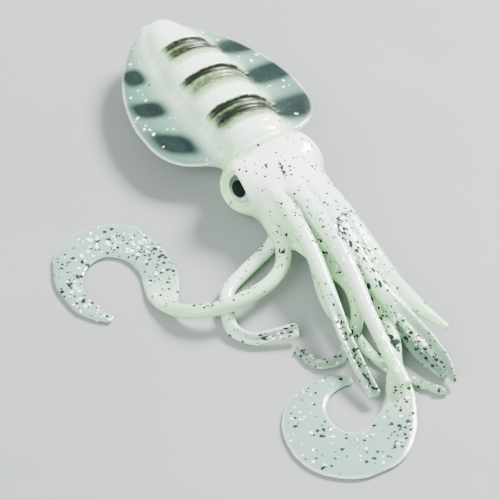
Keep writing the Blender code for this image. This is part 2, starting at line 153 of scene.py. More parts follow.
# Arms: (x, y, z, width, height) along the centre line
ARMS = {
    "hook": [
        (-4, -13.5, 6, 3.2, 2.8), (-6.2, -17.6, 3.8, 3.2, 2.6), (-9.6, -20.2, 2.6, 3.2, 2.4),
        (-13.9, -22.1, 2.2, 3.2, 2.4), (-18.3, -24, 2, 3.2, 2.4), (-23.4, -26.6, 1.6, 3.1, 2.4),
        (-26.6, -32, 1.3, 2.9, 2.4), (-27.8, -37, 1.3, 2.8, 2.2), (-25.6, -40.9, 1.5, 2.7, 2),
        (-21.6, -42.6, 2.1, 2.8, 1.9), (-17.7, -43.9, 2.6, 3, 1.9),
    ],
    "curl": [
        (-6.4, -12, 7.4, 4.2, 3.2), (-7.2, -18, 6.7, 4.8, 3), (-6.2, -23.6, 6, 5.2, 2.8),
        (-4.6, -29, 5.4, 5.2, 2.6), (-3.5, -34.6, 4.8, 4.4, 2.5), (-3.2, -39.5, 4.4, 3.4, 2.4),
        (-4.4, -44, 4.2, 2.9, 2.2), (-7.3, -49.2, 3.8, 2.7, 1.9), (-10.9, -52.6, 2.6, 2.5, 1.4),
        (-14.4, -54.3, 1.7, 2.4, 1.2), (-17.6, -53.4, 1.2, 2.2, 1), (-19.2, -50, 0.9, 2, 0.8),
        (-19.3, -46.4, 0.7, 1.7, 0.7),
    ],
    "long": [
        (-5.4, -12, 10.4, 4, 3.6), (-6, -22, 10, 3.8, 3.2), (-6.8, -30.3, 8.9, 3.4, 2.9),
        (-8.6, -39.3, 7.1, 3.1, 2.7), (-10.3, -46.4, 6.1, 2.9, 2.4), (-11.9, -52.7, 5.2, 2.9, 2.1),
        (-12.9, -58.8, 4, 2.9, 1.9), (-13.8, -66.9, 2.4, 2.8, 1.8),
    ],
    "bowed": [
        (-3.6, -18, 5, 3.4, 2.8), (-4, -25, 4, 3.4, 2.6), (-5.2, -30.6, 3.2, 3.4, 2.5),
        (-7.2, -36.5, 2.2, 3.3, 2.4), (-8.3, -41.9, 1.5, 3, 2.2), (-7.7, -47.5, 1.1, 2.7, 1.8),
        (-7.7, -55, 0.8, 2.5, 1.2), (-6.6, -60.5, 0.5, 2.4, 0.8), (-4.6, -65, 0.5, 2.4, 0.8),
        (-0.6, -71.6, 0.8, 2.2, 0.9),
    ],
    "crest": [
        (-1.8, -14, 11, 4.6, 3.8), (-1.7, -23, 10.5, 4.4, 3.4), (-2.2, -32.2, 9.8, 3.8, 3.2),
        (-3.2, -40.8, 8.2, 3.3, 3), (-5, -49, 6.9, 3.1, 2.8), (-6.3, -56.5, 5.8, 3, 2.5),
        (-7.2, -62.5, 4.8, 3, 2.2), (-7.6, -68.4, 3.7, 2.6, 1.8),
    ],
    "flank": [
        (3.6, -14, 9, 4.8, 4.2), (4.6, -22, 8.3, 4.6, 3.8), (4.6, -30, 7.2, 4.4, 3.6),
        (4.4, -38.5, 6.1, 4.2, 3.2), (4.2, -46, 5.4, 4.2, 2.8), (5, -52, 4.9, 3.6, 2.2),
        (7.3, -59.2, 4, 1.5, 1.3),
    ],
    "outer": [
        (1.8, -16, 10.2, 4.4, 3.8), (1.6, -28, 9.1, 4.2, 3.4), (0.9, -36.5, 7.8, 3.9, 3.2),
        (0.4, -47.2, 6.2, 3.9, 2.8), (1.3, -54.7, 4.9, 3.9, 2.3), (2.2, -61.5, 3.7, 3.6, 1.9),
        (2.6, -66, 2.7, 2.8, 1.6), (1.9, -70.6, 1.8, 1.4, 1.2),
    ],
    "under": [
        (4, -16, 4.8, 3.2, 2.6), (4.4, -27, 4, 3.2, 2.6), (4, -34.5, 3.4, 3.3, 2.4),
        (3.2, -41, 3, 3.4, 2.2), (2.2, -47.5, 2.6, 3.6, 2), (1.2, -54, 2, 4, 1.7),
        (0.8, -60, 1.6, 4.2, 1.4), (1, -64, 1.3, 3.6, 1.2), (1.5, -68, 0.9, 2.2, 0.9),
    ],
}
# Arms that end in an open channel: where along them it starts, and the roll of the tip in degrees
CHANNELS = {"hook": (0.66, 38), "curl": (0.66, -30), "long": (0.5, 20), "outer": (0.55, 30)}
CHANNEL_DEPTH, CHANNEL_WIDTH, CHANNEL_EASE = 0.5, 0.26, 0.2
ROLL_FADE = (0.35, 1)
# Bumps along a channel's rims, their place and width as shares of the arm's width
SUCKER_PITCH, SUCKER_HEIGHT, SUCKER_OUT, SUCKER_WIDTH = 1.7, 0.22, 0.36, 0.14
# Arms that end in a thin crumpled film, and where along them it starts
FILMS = {"curl": 0.76, "bowed": 0.82}
# Crumple of a film: (height, waves a millimetre, start) across its width, and the height of its folds
CRUMPLE_WAVES = [(0.28, 2.1, 0), (0.16, 5.3, 1)]
CRUMPLE_FOLD, CRUMPLE_ACROSS, CRUMPLE_ALONG = 0.3, 2.6, 3.1
# A limb grows squarer where its width over height is large. Its ends are capped
FLAT_SQUARENESS, FLAT_FROM = 0.6, (1.6, 3.5)
CAP_LENGTH, CAP_SHARE = 0.35, 0.6
# A small nub on the left of the tip: its middle and radii
TIP_NUB = ((-2.8, 44.6, 8.6), (1.2, 0.9, 1.1))

# Tentacle tubes narrow from the root's width over these stations. Their blades are flat
TENTACLE_ROOT_WIDTH, TENTACLE_WIDTH, TENTACLE_TAPER = 3.9, 3, (1, 5)
BLADE_THICKNESS = 1.1
# The left blade and the left tentacle's bend lie left of these corners, and nearer the arm tips
LEFT_BLADE_CORNER, LEFT_BEND_CORNER = (-21, 8), (-13, 0.5)
# Tentacles: a tube, (x, y, z), that runs into a curled blade, (x, y, width)
TENTACLES = {
    "left": (
        [
            (-6.8, -6, 7.6), (-8, -15, 6.6), (-9, -21.5, 6.1), (-9.8, -25, 5.5), (-11.8, -28.2, 4.8),
            (-15.5, -30.8, 4.4), (-21.2, -32.4, 4.3), (-27.5, -32.6, 4.3), (-31.5, -30.8, 3.5),
            (-34.6, -27.6, 2.3),
        ],
        [
            (-35.4, -24, 4.6), (-34.8, -20.8, 6.6), (-33.2, -17, 7.6), (-32, -12.5, 8.4),
            (-31.9, -7.5, 9.4), (-34, -2.8, 10.4), (-38.5, -0.5, 10), (-43.5, -1.5, 9),
            (-47.6, -5, 7.4), (-49.7, -10, 6.2), (-49.6, -15.5, 4.8), (-48.2, -19, 3.6),
            (-46.6, -21.2, 2.6),
        ],
    ),
    "right": (
        [
            (2.2, -16, 6), (1.9, -24, 4.9), (1.4, -30, 4.4), (0.6, -37, 4), (-0.5, -44, 3.6),
            (-1.8, -52, 3.1), (-3.6, -57.2, 2.8), (-5.9, -61.5, 2.5),
        ],
        [
            (-7.6, -65, 4.6), (-9, -68.4, 6), (-11.2, -71.5, 7.4), (-14.5, -75, 9.2),
            (-19, -77.6, 11.2), (-24, -77.4, 12.6), (-27.8, -74.2, 12.6), (-28.9, -69.5, 11.2),
            (-27.9, -64.5, 9.4), (-25.2, -60.8, 7.6), (-21.5, -58.8, 5.6), (-17.5, -58.4, 3.8),
            (-14.5, -59.4, 2.2),
        ],
    ),
}
# The first stations of a blade, where it comes down to the floor: (z, thickness)
BLADE_LANDING = {"left": [(1.3, 1.9), (0.8, 1.3)], "right": [(2.1, 1.5), (1.3, 1.2), (0.8, 1.1)]}

# How fine the skin is, in millimetres
VOXEL = 0.3
LIMB_STEP = 0.7
LIMB_SIDES = 24
SMOOTH_PULL, SMOOTH_PASSES = 0.5, 3
MELT_PULL = 0.6
# Where forms melt together: (fade in along y, fade out along y, fade in along x, passes)
MELTED = [
    ((-0.6, -2.2), (-16, -12), None, 40),
    ((-10, -13), (-34, -24), None, 7),
    ((-15, -21), (-50, -42), (-0.8, 0.8), 34),
]
FLANK_PASSES, FLAT_PASSES, DIP_PASSES = ((28, 28, 30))
FLANK_FROM_Y, FLANK_WIDTH = (0.5, 2), 1.6
FLAT_FIN_FROM_Y, FLAT_FIN_OUT = (0.3, 1.2), (0.8, 2)

# Masks on the skin that its material reads
SKIN_ATTRIBUTES = (
    "fin", "clear_fin", "rim", "back", "blotch", "bar", "sunk", "blade", "tip", "inner", "low", "film",
    "under", "limb", "crown", "socket", "flank", "valley",
)
# No paint lies lower than this, and a ring deeper than this has its full tint
FIN_Z_LOW, RING_SHALLOW = 5, 0.3
# The paint that a fin's rim loses, the arms whose tips stay milky, and how clear the hooked arm's tip is
RIM_UNPAINTED, SOLID_TIPS, HOOK_TIP = 0.4, ("crest", "flank"), 0.35
# Where each mask fades, from nothing to full
FADES = {
    # Along y, in millimetres
    "mantle": (-0.6, 0.4), "crown": (0.5, -3), "crown_end": (-26, -16), "limb": (-14, -24),
    "low_from": (-8, -14), "valley_from": (-9, -13), "black": (16, 6), "head": (1, -3),
    "head_end": (-40, -20),
    # Out from the mantle's side, in from the fin's edge, above the fin and above the floor
    "fin": (-0.5, 2.4), "clear_fin": (0.5, 7), "paint": (-1.6, -0.6), "fin_rim": (0.9, 0.2),
    "fin_edge": (1.6, 0.8), "fin_height": (3.6, 1.8), "paint_height": (11, 9.5), "low": (9.6, 5.2),
    # Round the mantle, in radii and degrees, and by which way the skin faces
    "bar_out": (1.14, 1.03), "bar_right": (-4, 8), "flank": (0.5, 0.9), "flat": (0.1, 0.5),
    "back": (0.3, 1), "drift": (0, 0.3),
    # Along an arm or tentacle, as a share of its length
    "blade": (0.47, 0.6), "tip": (0.55, 1), "under": (0.3, 0.6), "crest": (0.3, 0.45),
    # Across an arm or tentacle, in half widths, and above its centre line
    "inner": (0.75, 0.35), "blade_rim": (0.86, 0.95), "blade_edge": (0.74, 0.88), "crest_rise": (0.4, 0.9),
    # Out from a lens, past its brow, and down in a valley
    "socket": (6.8, 4.4), "socket_brow": (0.5, -0.5), "valley": (0.01, 0.09),
    # Paint that keeps silver flakes off
    "painted": (0.4, 0.05),
}

# Flakes set in the surface: how far they stand off it, and how uneven and how tilted each kind is
FLAKE_LIFT = 0.03
FLAKE_SEED = 41
SILVER_SHAPE, BLACK_SHAPE = (0.1, 0.14), (0.45, 0.06)
# Sizes of the scattered flakes in millimetres, and how many lie in a square millimetre
SILVER_SIZE, BLACK_SIZE = (0.4, 1.05), (0.42, 0.95)
BLADE_SILVER_SIZE, BLADE_BLACK_SIZE = (0.45, 1.05), (0.45, 1.3)
SILVER_ALL, SILVER_FIN, SILVER_LIMB, SILVER_BLADE = 0.008, 0.2, 0.05, 0.17
BLACK_ALL, BLACK_FRONT, BLACK_HEAD, BLACK_BLADE = 0.012, 0.035, 0.25, 0.13
BLACK_ARM, BLACK_TIP, BLACK_TUBE = 0.07, 0.24, 0.03
# Drifts of flakes: (points along it from above, half width, flakes in a square millimetre, sizes, stretch)
BLACK_DRIFTS = [
    ([(1.1, -26.8), (-0.4, -33.1), (-1.6, -38.2), (-2.7, -43.4), (-3.5, -48.5), (-4.6, -53.4), (-5, -58.7)],
     1.45, 1.5, (0.45, 1.6), 1.5),
    ([(3.4, -27), (2.6, -33), (1.6, -40), (0.6, -46)], 1.7, 0.75, (0.35, 1.05), 1.5),
    ([(5.6, -22), (5.4, -28), (4.8, -33)], 1.2, 0.45, (0.3, 0.8), 2.2),
    ([(-1.4, -50), (-0.4, -56), (0.8, -62), (1.6, -68), (1.8, -71)], 1.3, 1, (0.3, 1), 1.3),
    ([(-9.6, -43), (-11.4, -50), (-12.6, -57), (-13.6, -66)], 0.9, 0.9, (0.3, 1.1), 1.4),
    ([(-9, -50.5), (-13, -53.6), (-17, -53), (-19, -49)], 1.2, 1, (0.3, 1), 1.5),
    ([(-9.6, -22), (-10.6, -26.5), (-13.6, -29.8)], 0.8, 0.7, (0.3, 0.8), 2.4),
    ([(-20, -32.6), (-25, -32.9), (-30, -31.8), (-34, -28.6)], 0.8, 0.8, (0.3, 0.75), 2.6),
    ([(-31, -9.5), (-31.6, -14), (-33.6, -19.5), (-34.8, -24)], 2.4, 0.45, (0.3, 0.9), 1.2),
    ([(-8, -68.5), (-9.2, -71.5), (-11, -75), (-15, -78)], 3.2, 0.55, (0.5, 1.25), 1.2),
    ([(-1.6, -9.6), (-2.2, -11.6), (-2.6, -13.6)], 0.32, 11, (0.3, 0.6), 1.8),
    ([(-1.6, -38), (-2.6, -43.4), (-3.4, -48.5), (-4.4, -53.4), (-4.8, -58.7)], 2, 0.9, (0.5, 1.6), 1.5),
    ([(-32, -12), (-33, -5), (-38, -0.5), (-44, -2), (-48, -7), (-49.4, -14), (-47.5, -20)],
     4.2, 0.16, (0.6, 1.4), 1),
    ([(-24.5, -41.6), (-20.5, -43), (-17.7, -43.9)], 1.2, 0.55, (0.3, 0.8), 2.2),
    ([(-3, -19), (-3.2, -25), (-3.8, -31)], 3.6, 0.34, (0.3, 0.85), 1.3),
]
SILVER_DRIFTS = [
    ([(-3.2, -38), (-4.6, -46), (-6, -54), (-7, -61), (-7.6, -66)], 0.7, 0.9, (0.7, 1.35), 1),
    ([(-0.6, -52.5), (0.2, -57), (1.4, -62)], 0.8, 0.8, (0.6, 1.2), 1),
    ([(-31.5, -4), (-35, -1.5), (-39.5, -0.5), (-43, -2)], 3, 0.5, (0.5, 1.15), 1),
    ([(-48, -7), (-49.5, -12), (-49.4, -15)], 1.6, 0.5, (0.5, 1.1), 1),
    ([(-1.6, -22), (-1.8, -30), (-2.2, -38)], 2.2, 0.45, (0.45, 1.1), 1),
    ([(-14.6, 5.6), (-16.6, 13), (-17, 20)], 1.6, 0.16, (0.5, 1.1), 1),
    ([(-24.5, -41.6), (-20.5, -43), (-17.7, -43.9)], 1.2, 0.3, (0.4, 0.8), 1),
]

# Colours of the skin, each pair mottled
PEARL = ((0.80, 0.93, 0.81), (0.91, 0.98, 0.90))
MILKY = ((0.15, 0.31, 0.23), (0.22, 0.41, 0.32))
# SIDE_SHADE_PEARL is painted shade: skin that faces sideways or down is darker and greener than the top
CROWN_PEARL, SIDE_SHADE_PEARL = (0.97, 0.97, 0.95), (0.50, 0.76, 0.44)
CLEAR_TIP = (0.32, 0.50, 0.38)
SMOKE = (0.008, 0.017, 0.018)
OLIVE_WASH, OLIVE, OLIVE_SPECK = (0.24, 0.37, 0.19), (0.055, 0.075, 0.038), (0.035, 0.045, 0.025)
BAR_BLACK = (0.006, 0.010, 0.005)
# Tints laid over them in turn: (mask, strength, colour)
# The limbs' green tint is their own colour; the flank tint is painted shade down both sides of the mantle
LIMB_TINT_AND_FLANK_SHADE = [("limb", 0.55, (0.60, 0.80, 0.68)), ("flank", 0.75, (0.48, 0.70, 0.54))]
# Painted shade: darker green in the mantle's ring grooves, round the eyes' hollows, in the valleys between
# the arms and on the low parts of the crown near the floor
PAINTED_SHADE_TINTS = [
    ("sunk", 0.55, (0.52, 0.70, 0.48)), ("socket", 0.9, (0.48, 0.80, 0.40)),
    ("valley", 0.9, (0.22, 0.38, 0.25)), ("low", 0.85, (0.44, 0.72, 0.40)),
]
BLADE_TINTS = [("blade", 0.9, (0.24, 0.42, 0.33))]
# Painted shade: the clear outer fins are darkened for the dark ground and shadow seen through them
FIN_SEE_THROUGH_SHADE = [("clear_fin", 0.75, (0.085, 0.18, 0.15))]
# The under arm's tint is painted shade, as it lies beneath the other arms, and the rim tint is a painted
# highlight along the edges of the fins and blades
SHADE_CHANNEL_AND_HIGHLIGHT_TINTS = [
    ("under", 0.8, (0.20, 0.29, 0.25)), ("inner", 0.7, (0.24, 0.34, 0.28)), ("rim", 0.75, (0.84, 0.93, 0.88)),
]
# Flakes: (colour, specular level, roughness)
SILVER_LOOK = ((0.97, 0.99, 0.97), 0.6, 0.25)
BLACK_LOOK = ((0.014, 0.024, 0.019), 0.1, 0.5)
# Eyes
IRIS = ((0.30, 0.42, 0.43), (0.46, 0.60, 0.61))
LID_SHADE, IRIS_RING, PUPIL = (0.02, 0.04, 0.022), (0.12, 0.16, 0.15), (0.002, 0.003, 0.003)

# Studio: (place in metres, watts, size, colour) of each light, the sky and the floor
LIGHTS = {
    "key": ((0.63, 0.18, 0.54), 38, 0.32, (1, 1, 0.98)),
    "fill": ((-0.60, -0.30, 0.50), 15, 0.8, (0.93, 1, 0.95)),
}
SKY, SKY_STRENGTH = (0.86, 0.97, 0.93, 1), 0.75
FLOOR_TONES, FLOOR_REACH = ((0.25, 0.265, 0.27), (0.27, 0.285, 0.29)), 1.5

# The camera stands where the photo was taken from, aimed at a point of the floor near the lure's middle
CAMERA_AIM = (-12.8, -17, 0)
CAMERA_DIRECTION = (-0.3657, -0.6334, 0.6820)
CAMERA_DISTANCE = 842.5
CAMERA_LENS, CAMERA_SENSOR = 302.4, 36


def ease(low, high, x):
    """Rises smoothly from 0 at low to 1 at high. Falls if high is the smaller."""
    t = np.clip((x - low) / (high - low), 0.0, 1.0)
    return t * t * (3 - 2 * t)


def fade(name, x):
    return ease(*FADES[name], x)


def bell(x, width):
    return np.exp(-((x / width) ** 2))


def curve(rows, knots, places):
    """Rows at places on the smooth curve that passes through the given rows at the knots."""
    slopes = np.gradient(rows, knots, axis=0)
    made = []
    for s in places:
        i = min(int(np.searchsorted(knots, s, side="right")) - 1, len(rows) - 2)
        gap = knots[i + 1] - knots[i]
        t = (s - knots[i]) / gap
        made.append(
            (2 * t**3 - 3 * t**2 + 1) * rows[i] + (t**3 - 2 * t**2 + t) * gap * slopes[i]
            + (3 * t**2 - 2 * t**3) * rows[i + 1] + (t**3 - t**2) * gap * slopes[i + 1]
        )
    return np.array(made)


def smooth(points, step):
    """Rows at even steps along the smooth curve through the points. Columns after the third are sizes."""
    rows = np.array(points, float)
    along = np.concatenate([[0.0], np.cumsum(np.linalg.norm(np.diff(rows[:, :3], axis=0), axis=1))])
    count = max(2, round(along[-1] / step))
    return curve(rows, along, np.linspace(0.0, along[-1], count + 1))


def new_mesh(name, points, faces):
    made = bpy.data.meshes.new(name)
    made.from_pydata(points, [], faces)
    return made


class Cage:
    """Closed tubes over rings of points, gathered as one mesh."""

    def __init__(self):
        self.points, self.faces = [], []

    def loft(self, rings):
        rings = np.array(rings, float)
        rings[..., 2] = np.maximum(rings[..., 2], 0.0)
        first = len(self.points)
        count, sides = rings.shape[:2]
        self.points.extend(map(tuple, rings.reshape(-1, 3)))
        for i in range(count - 1):
            for k in range(sides):
                a, b = first + i * sides + k, first + i * sides + (k + 1) % sides
                self.faces.append((a, b, b + sides, a + sides))
        self.faces.append(tuple(first + k for k in reversed(range(sides))))
        self.faces.append(tuple(first + (count - 1) * sides + k for k in range(sides)))

    def ball(self, centre, radii, rings=24, sides=40):
        turns = np.linspace(0.02, math.pi - 0.02, rings)
        angles = np.linspace(0.0, math.tau, sides, endpoint=False)
        shell = [
            [(math.sin(t) * math.cos(a), math.sin(t) * math.sin(a), math.cos(t)) for a in angles]
            for t in turns
        ]
        self.loft(np.array(shell) * radii + centre)

    def mesh(self, name):
        made = new_mesh(name, self.points, self.faces)
        shape = bmesh.new()
        shape.from_mesh(made)
        bmesh.ops.recalc_face_normals(shape, faces=shape.faces)
        shape.to_mesh(made)
        shape.free()
        return made


def ring_relief(y):
    """How far the mantle's back sinks at y."""
    offsets, depths = zip(*RING_PROFILE)
    rings = sum(np.interp(y - row, offsets, depths) for row in BAR_ROWS)
    return rings + sum(depth * bell(y - at, width) for at, depth, width in CREASES)


def mantle_section(y):
    """Half the mantle's width and half its height at y."""
    at, widths, heights = zip(*MANTLE_PROFILE)
    return np.interp(y, at, widths), np.interp(y, at, heights)


def round_mantle(points):
    """For points on the mantle, the cosine and sine of their place round it, and how far out they are."""
    half_width, half_height = mantle_section(points[:, 1])
    c, s = points[:, 0] / half_width, (points[:, 2] - MANTLE_AXIS_Z) / half_height
    out = np.maximum(np.hypot(c, s), 1e-6)
    return c / out, s / out, out


def ring_fade(c, s):
    return np.where(c > 0, ease(*RING_FADE_RIGHT, s), ease(*RING_FADE_LEFT, s))


def add_mantle(cage):
    angles = np.linspace(0.0, math.tau, MANTLE_SIDES, endpoint=False)
    c, s = np.cos(angles), np.sin(angles)
    rings = []
    for y in np.arange(MANTLE_PROFILE[0][0], MANTLE_PROFILE[-1][0] + 0.01, MANTLE_STEP):
        half_width, half_height = mantle_section(y)
        rings.append(np.stack([half_width * c, np.full_like(c, y), MANTLE_AXIS_Z + half_height * s], 1))
    cage.loft(rings)


def press_rings(points):
    c, s, out = round_mantle(points)
    on = ease(*RINGS_FRONT, points[:, 1]) * ease(*RINGS_OUT, out) * ease(*RINGS_TIP, points[:, 1])
    sunk = ring_relief(points[:, 1]) * ring_fade(c, s) * on
    return points - np.stack([sunk * c, 0 * c, sunk * s], 1)


def press_neck(points):
    """Creases across the neck, fading out down the flanks."""
    x, y, z = points.T
    bow = np.where(x > 0, NECK_BOW_RIGHT, NECK_BOW_LEFT) * x * x
    sunk = sum(depth * bell(y - at - bow, width) for at, depth, width in NECK_CREASES)
    out = points * (1.0, 0.0, 1.0) - NECK_MIDDLE
    out /= np.maximum(np.linalg.norm(out, axis=1), 1.0)[:, None]
    return points - out * (sunk * ease(*NECK_FADE_Z, z))[:, None]


def fin_share(y):
    """The fins' width at y as a share of their widest."""
    reach, power = (FIN_FRONT, FIN_FRONT_POWER) if y > FIN_WIDEST_Y else (FIN_REAR, FIN_REAR_POWER)
    off = min(abs(y - FIN_WIDEST_Y) / reach, 1.0)
    return (1 - off**power) ** (1 / power)


def add_fins(cage):
    rings = []
    share = np.sin(np.linspace(-math.pi / 2, math.pi / 2, FIN_POINTS))
    rim = FIN_EDGE_SHARE + (1 - FIN_EDGE_SHARE) * np.sqrt(np.clip(1.0 - share**FIN_EDGE_POWER, 0.0, 1.0))
    for turn in np.linspace(FIN_END * math.pi, (1 - FIN_END) * math.pi, FIN_RINGS):
        y = FIN_WIDEST_Y - math.cos(turn) * (FIN_REAR if turn < math.pi / 2 else FIN_FRONT)
        x = FIN_HALF_WIDTH * fin_share(y) * share
        out = ease(*FIN_TAPER, np.abs(x) / FIN_HALF_WIDTH)
        z = FIN_ROOT_Z + (FIN_RIM_Z - FIN_ROOT_Z) * out
        thick = FIN_ROOT_THICKNESS + (FIN_RIM_THICKNESS - FIN_ROOT_THICKNESS) * out
        past = np.maximum(np.abs(x) - mantle_section(y)[0] + FIN_FILLET_START, 0.0)
        fillet = FIN_FILLET_HEIGHT * np.where(x > 0, FIN_FILLET_RIGHT, 1.0)
        thick = (thick + fillet * np.exp(-past / FIN_FILLET_WIDTH)) * rim / 2
        upper = np.stack([FIN_MIDDLE_X + x, np.full_like(x, y), z + thick], 1)
        lower = np.stack([FIN_MIDDLE_X + x, np.full_like(x, y), z - thick], 1)
        rings.append(np.concatenate([upper, lower[::-1]]))
    cage.loft(rings)


def add_head(cage):
    rows = np.array(HEAD_SECTIONS)
    ys = np.linspace(rows[0, 0], rows[-1, 0], HEAD_RINGS)
    angles = np.linspace(0.0, math.tau, HEAD_SIDES, endpoint=False)
    c, s = np.cos(angles), np.sin(angles)
    reach = (np.abs(c) ** HEAD_SQUARENESS + np.abs(s) ** HEAD_SQUARENESS) ** (-1 / HEAD_SQUARENESS)
    rings = []
    for y, (_, x, z, width, height) in zip(ys, curve(rows, -rows[:, 0], -ys)):
        rings.append(np.stack([x + width * c * reach, np.full_like(c, y), z + height * s * reach], 1))
    cage.loft(rings)


def add_limb(cage, name, rows, spine):
    """A tube over rows of (x, y, z, width, height, channel, roll), and its spine points for later masks."""
    heading = np.gradient(rows[:, :3], axis=0)
    angles = np.linspace(0.0, math.tau, LIMB_SIDES, endpoint=False) + math.pi / 2
    rings = []
    travelled = 0.0
    for k, (row, ahead) in enumerate(zip(rows, heading)):
        share = k / (len(rows) - 1)
        width, height, channel, roll = row[3:]
        along = Vector(ahead).normalized()
        across = along.cross(Vector((0, 0, 1))).normalized()
        across = Matrix.Rotation(math.radians(roll), 3, along) @ across
        up = across.cross(along)
        flatness = 1 - FLAT_SQUARENESS * ease(*FLAT_FROM, width / height)
        a = width / 2 * np.cos(angles)
        b = height / 2 * np.sign(np.sin(angles)) * np.abs(np.sin(angles)) ** flatness
        top = b > 0
        b = b - top * channel * height * bell(a, CHANNEL_WIDTH * width)
        crumple = ease(FILMS[name], 1.0, share) if name in FILMS else 0.0
        a = a * (1 + crumple * sum(h * math.sin(f * travelled + start) for h, f, start in CRUMPLE_WAVES))
        b = b + crumple * CRUMPLE_FOLD * np.sin(CRUMPLE_ACROSS * a + CRUMPLE_ALONG * travelled)
        if name in CHANNELS:
            wave = 0.5 * math.cos(math.tau * travelled / SUCKER_PITCH)
            rim = bell(np.abs(a) - SUCKER_OUT * width, SUCKER_WIDTH * width) * (channel / CHANNEL_DEPTH)
            b = b + top * SUCKER_HEIGHT * wave * rim
        place = np.array(row[:3])
        rings.append(place + np.outer(a, across) + np.outer(b, up))
        spine.append((name, share, place, np.array(up), np.array(across), width))
        travelled += float(np.linalg.norm(ahead))
    caps = []
    for end, inner in ((0, 1), (-1, -2)):
        middle = rings[end].mean(0)
        out = middle - rings[inner].mean(0)
        out = out / np.linalg.norm(out) * CAP_LENGTH
        caps.append(middle + out + (rings[end] - middle) * CAP_SHARE)
    cage.loft([caps[0], *rings, caps[1]])


def add_arm(cage, name, spine):
    channel_from, tip_roll = CHANNELS.get(name, (1.0, 0.0))
    route = smooth(ARMS[name], LIMB_STEP)
    share = np.linspace(0.0, 1.0, len(route))
    channel = CHANNEL_DEPTH * ease(channel_from, channel_from + CHANNEL_EASE, share)
    roll = tip_roll * ease(*ROLL_FADE, share)
    add_limb(cage, name, np.column_stack([route, channel, roll]), spine)


def add_tentacle(cage, side, spine):
    tube, blade = TENTACLES[side]
    widths = np.interp(range(len(tube)), TENTACLE_TAPER, (TENTACLE_ROOT_WIDTH, TENTACLE_WIDTH))
    stations = [(*place, width, width) for place, width in zip(tube, widths)]
    landing = BLADE_LANDING[side]
    for k, (x, y, width) in enumerate(blade):
        z, thickness = landing[k] if k < len(landing) else (BLADE_THICKNESS / 2, BLADE_THICKNESS)
        stations.append((x, y, z, width, thickness))
    route = smooth(stations, LIMB_STEP)
    add_limb(cage, "tentacle_" + side, np.column_stack([route, np.zeros((len(route), 2))]), spine)


def eye_axes(side):
    """The front of the lens, and the ways forward, up and out from it."""
    _, front, facing = (np.array(v) for v in EYES[side])
    out = facing / np.linalg.norm(facing)
    up = np.array([0.0, 0.0, 1.0]) - out[2] * out
    up /= np.linalg.norm(up)
    forward = np.cross(up, out)
    return front, forward * -np.sign(forward[1]), up, out


def linked(name, data):
    """A new object of the scene."""
    made = bpy.data.objects.new(name, data)
    bpy.context.scene.collection.objects.link(made)
    return made


def remeshed(mesh, voxel):
    """One closed skin over everything in the mesh."""
    holder = linked("remesh_source", mesh)
    step = holder.modifiers.new("skin", "REMESH")
    step.mode = "VOXEL"
    step.voxel_size = voxel
    bpy.context.view_layer.update()
    made = bpy.data.meshes.new_from_object(holder.evaluated_get(bpy.context.evaluated_depsgraph_get()))
    bpy.data.objects.remove(holder)
    return made


def read(items, key, width, kind=float):
    """One value of every item in a mesh, as the rows of an array."""
    flat = np.empty(len(items) * width, kind)
    items.foreach_get(key, flat)
    return flat.reshape(-1, width)


def relax(points, edges, weight, passes, axes=(1.0, 1.0, 1.0)):
    """Moves each point towards the middle of its neighbours."""
    pull = np.outer(weight, axes)
    count = len(points)
    a, b = edges[:, 0], edges[:, 1]
    share = np.maximum(np.bincount(a, minlength=count) + np.bincount(b, minlength=count), 1)
    for _ in range(passes):
        totals = [np.bincount(a, points[b, c], count) + np.bincount(b, points[a, c], count) for c in range(3)]
        points = points + (np.stack(totals, 1) / share[:, None] - points) * pull
    return points


def build_skin():
    """The skin's mesh and points, the limbs' spine, each point's station on it, and its depth in a valley."""
    cage, spine = Cage(), []
    add_mantle(cage)
    cage.ball(*(np.array(v) for v in TIP_NUB))
    add_fins(cage)
    add_head(cage)
    for centre, _, _ in EYES.values():
        cage.ball(np.array(centre), np.array(EYE_BALL_RADII))
    for name in ARMS:
        add_arm(cage, name, spine)
    for side in TENTACLES:
        add_tentacle(cage, side, spine)
    mesh = remeshed(cage.mesh("skin_source"), VOXEL)
    edges = read(mesh.edges, "vertices", 2, int)
    points = read(mesh.vertices, "co", 3)

    points = relax(points, edges, np.full(len(points), SMOOTH_PULL), SMOOTH_PASSES)
    y = points[:, 1]
    for start, end, right, passes in MELTED:
        share = ease(*start, y) * ease(*end, y) * (ease(*right, points[:, 0]) if right else 1.0)
        points = relax(points, edges, MELT_PULL * share, passes)
    station = nearest_spine(points, spine)
    past = np.abs(points[:, 0] - FIN_MIDDLE_X) - mantle_section(y)[0]
    flank = ease(*FLANK_FROM_Y, y) * bell(past + FIN_FILLET_START, FLANK_WIDTH)
    points = relax(points, edges, MELT_PULL * flank * (points[:, 2] > MANTLE_AXIS_Z), FLANK_PASSES)
    flat_fin = ease(*FLAT_FIN_FROM_Y, y) * ease(*FLAT_FIN_OUT, past)
    flat = np.maximum(flat_fin, blade_share(points, spine, station))
    points = relax(points, edges, MELT_PULL * flat, FLAT_PASSES, (0.0, 0.0, 1.0))
    points = press_neck(press_rings(points))
    for side in EYES:
        points = press_socket(points, side)
    eased = relax(points, edges, np.full(len(points), MELT_PULL), DIP_PASSES)
    return mesh, points, spine, station, eased[:, 2] - points[:, 2]


def about_lens(points, side):
    """How far points lie from the middle of a lens, out from its front, and past its brow's edge."""
    front, forward, up, out = eye_axes(side)
    off = points - front
    u, v = off @ forward, off @ up
    return np.hypot(u, v), off @ out, v + BROW_SLANT * u + BROW_BEND * u * u - BROW_LINE


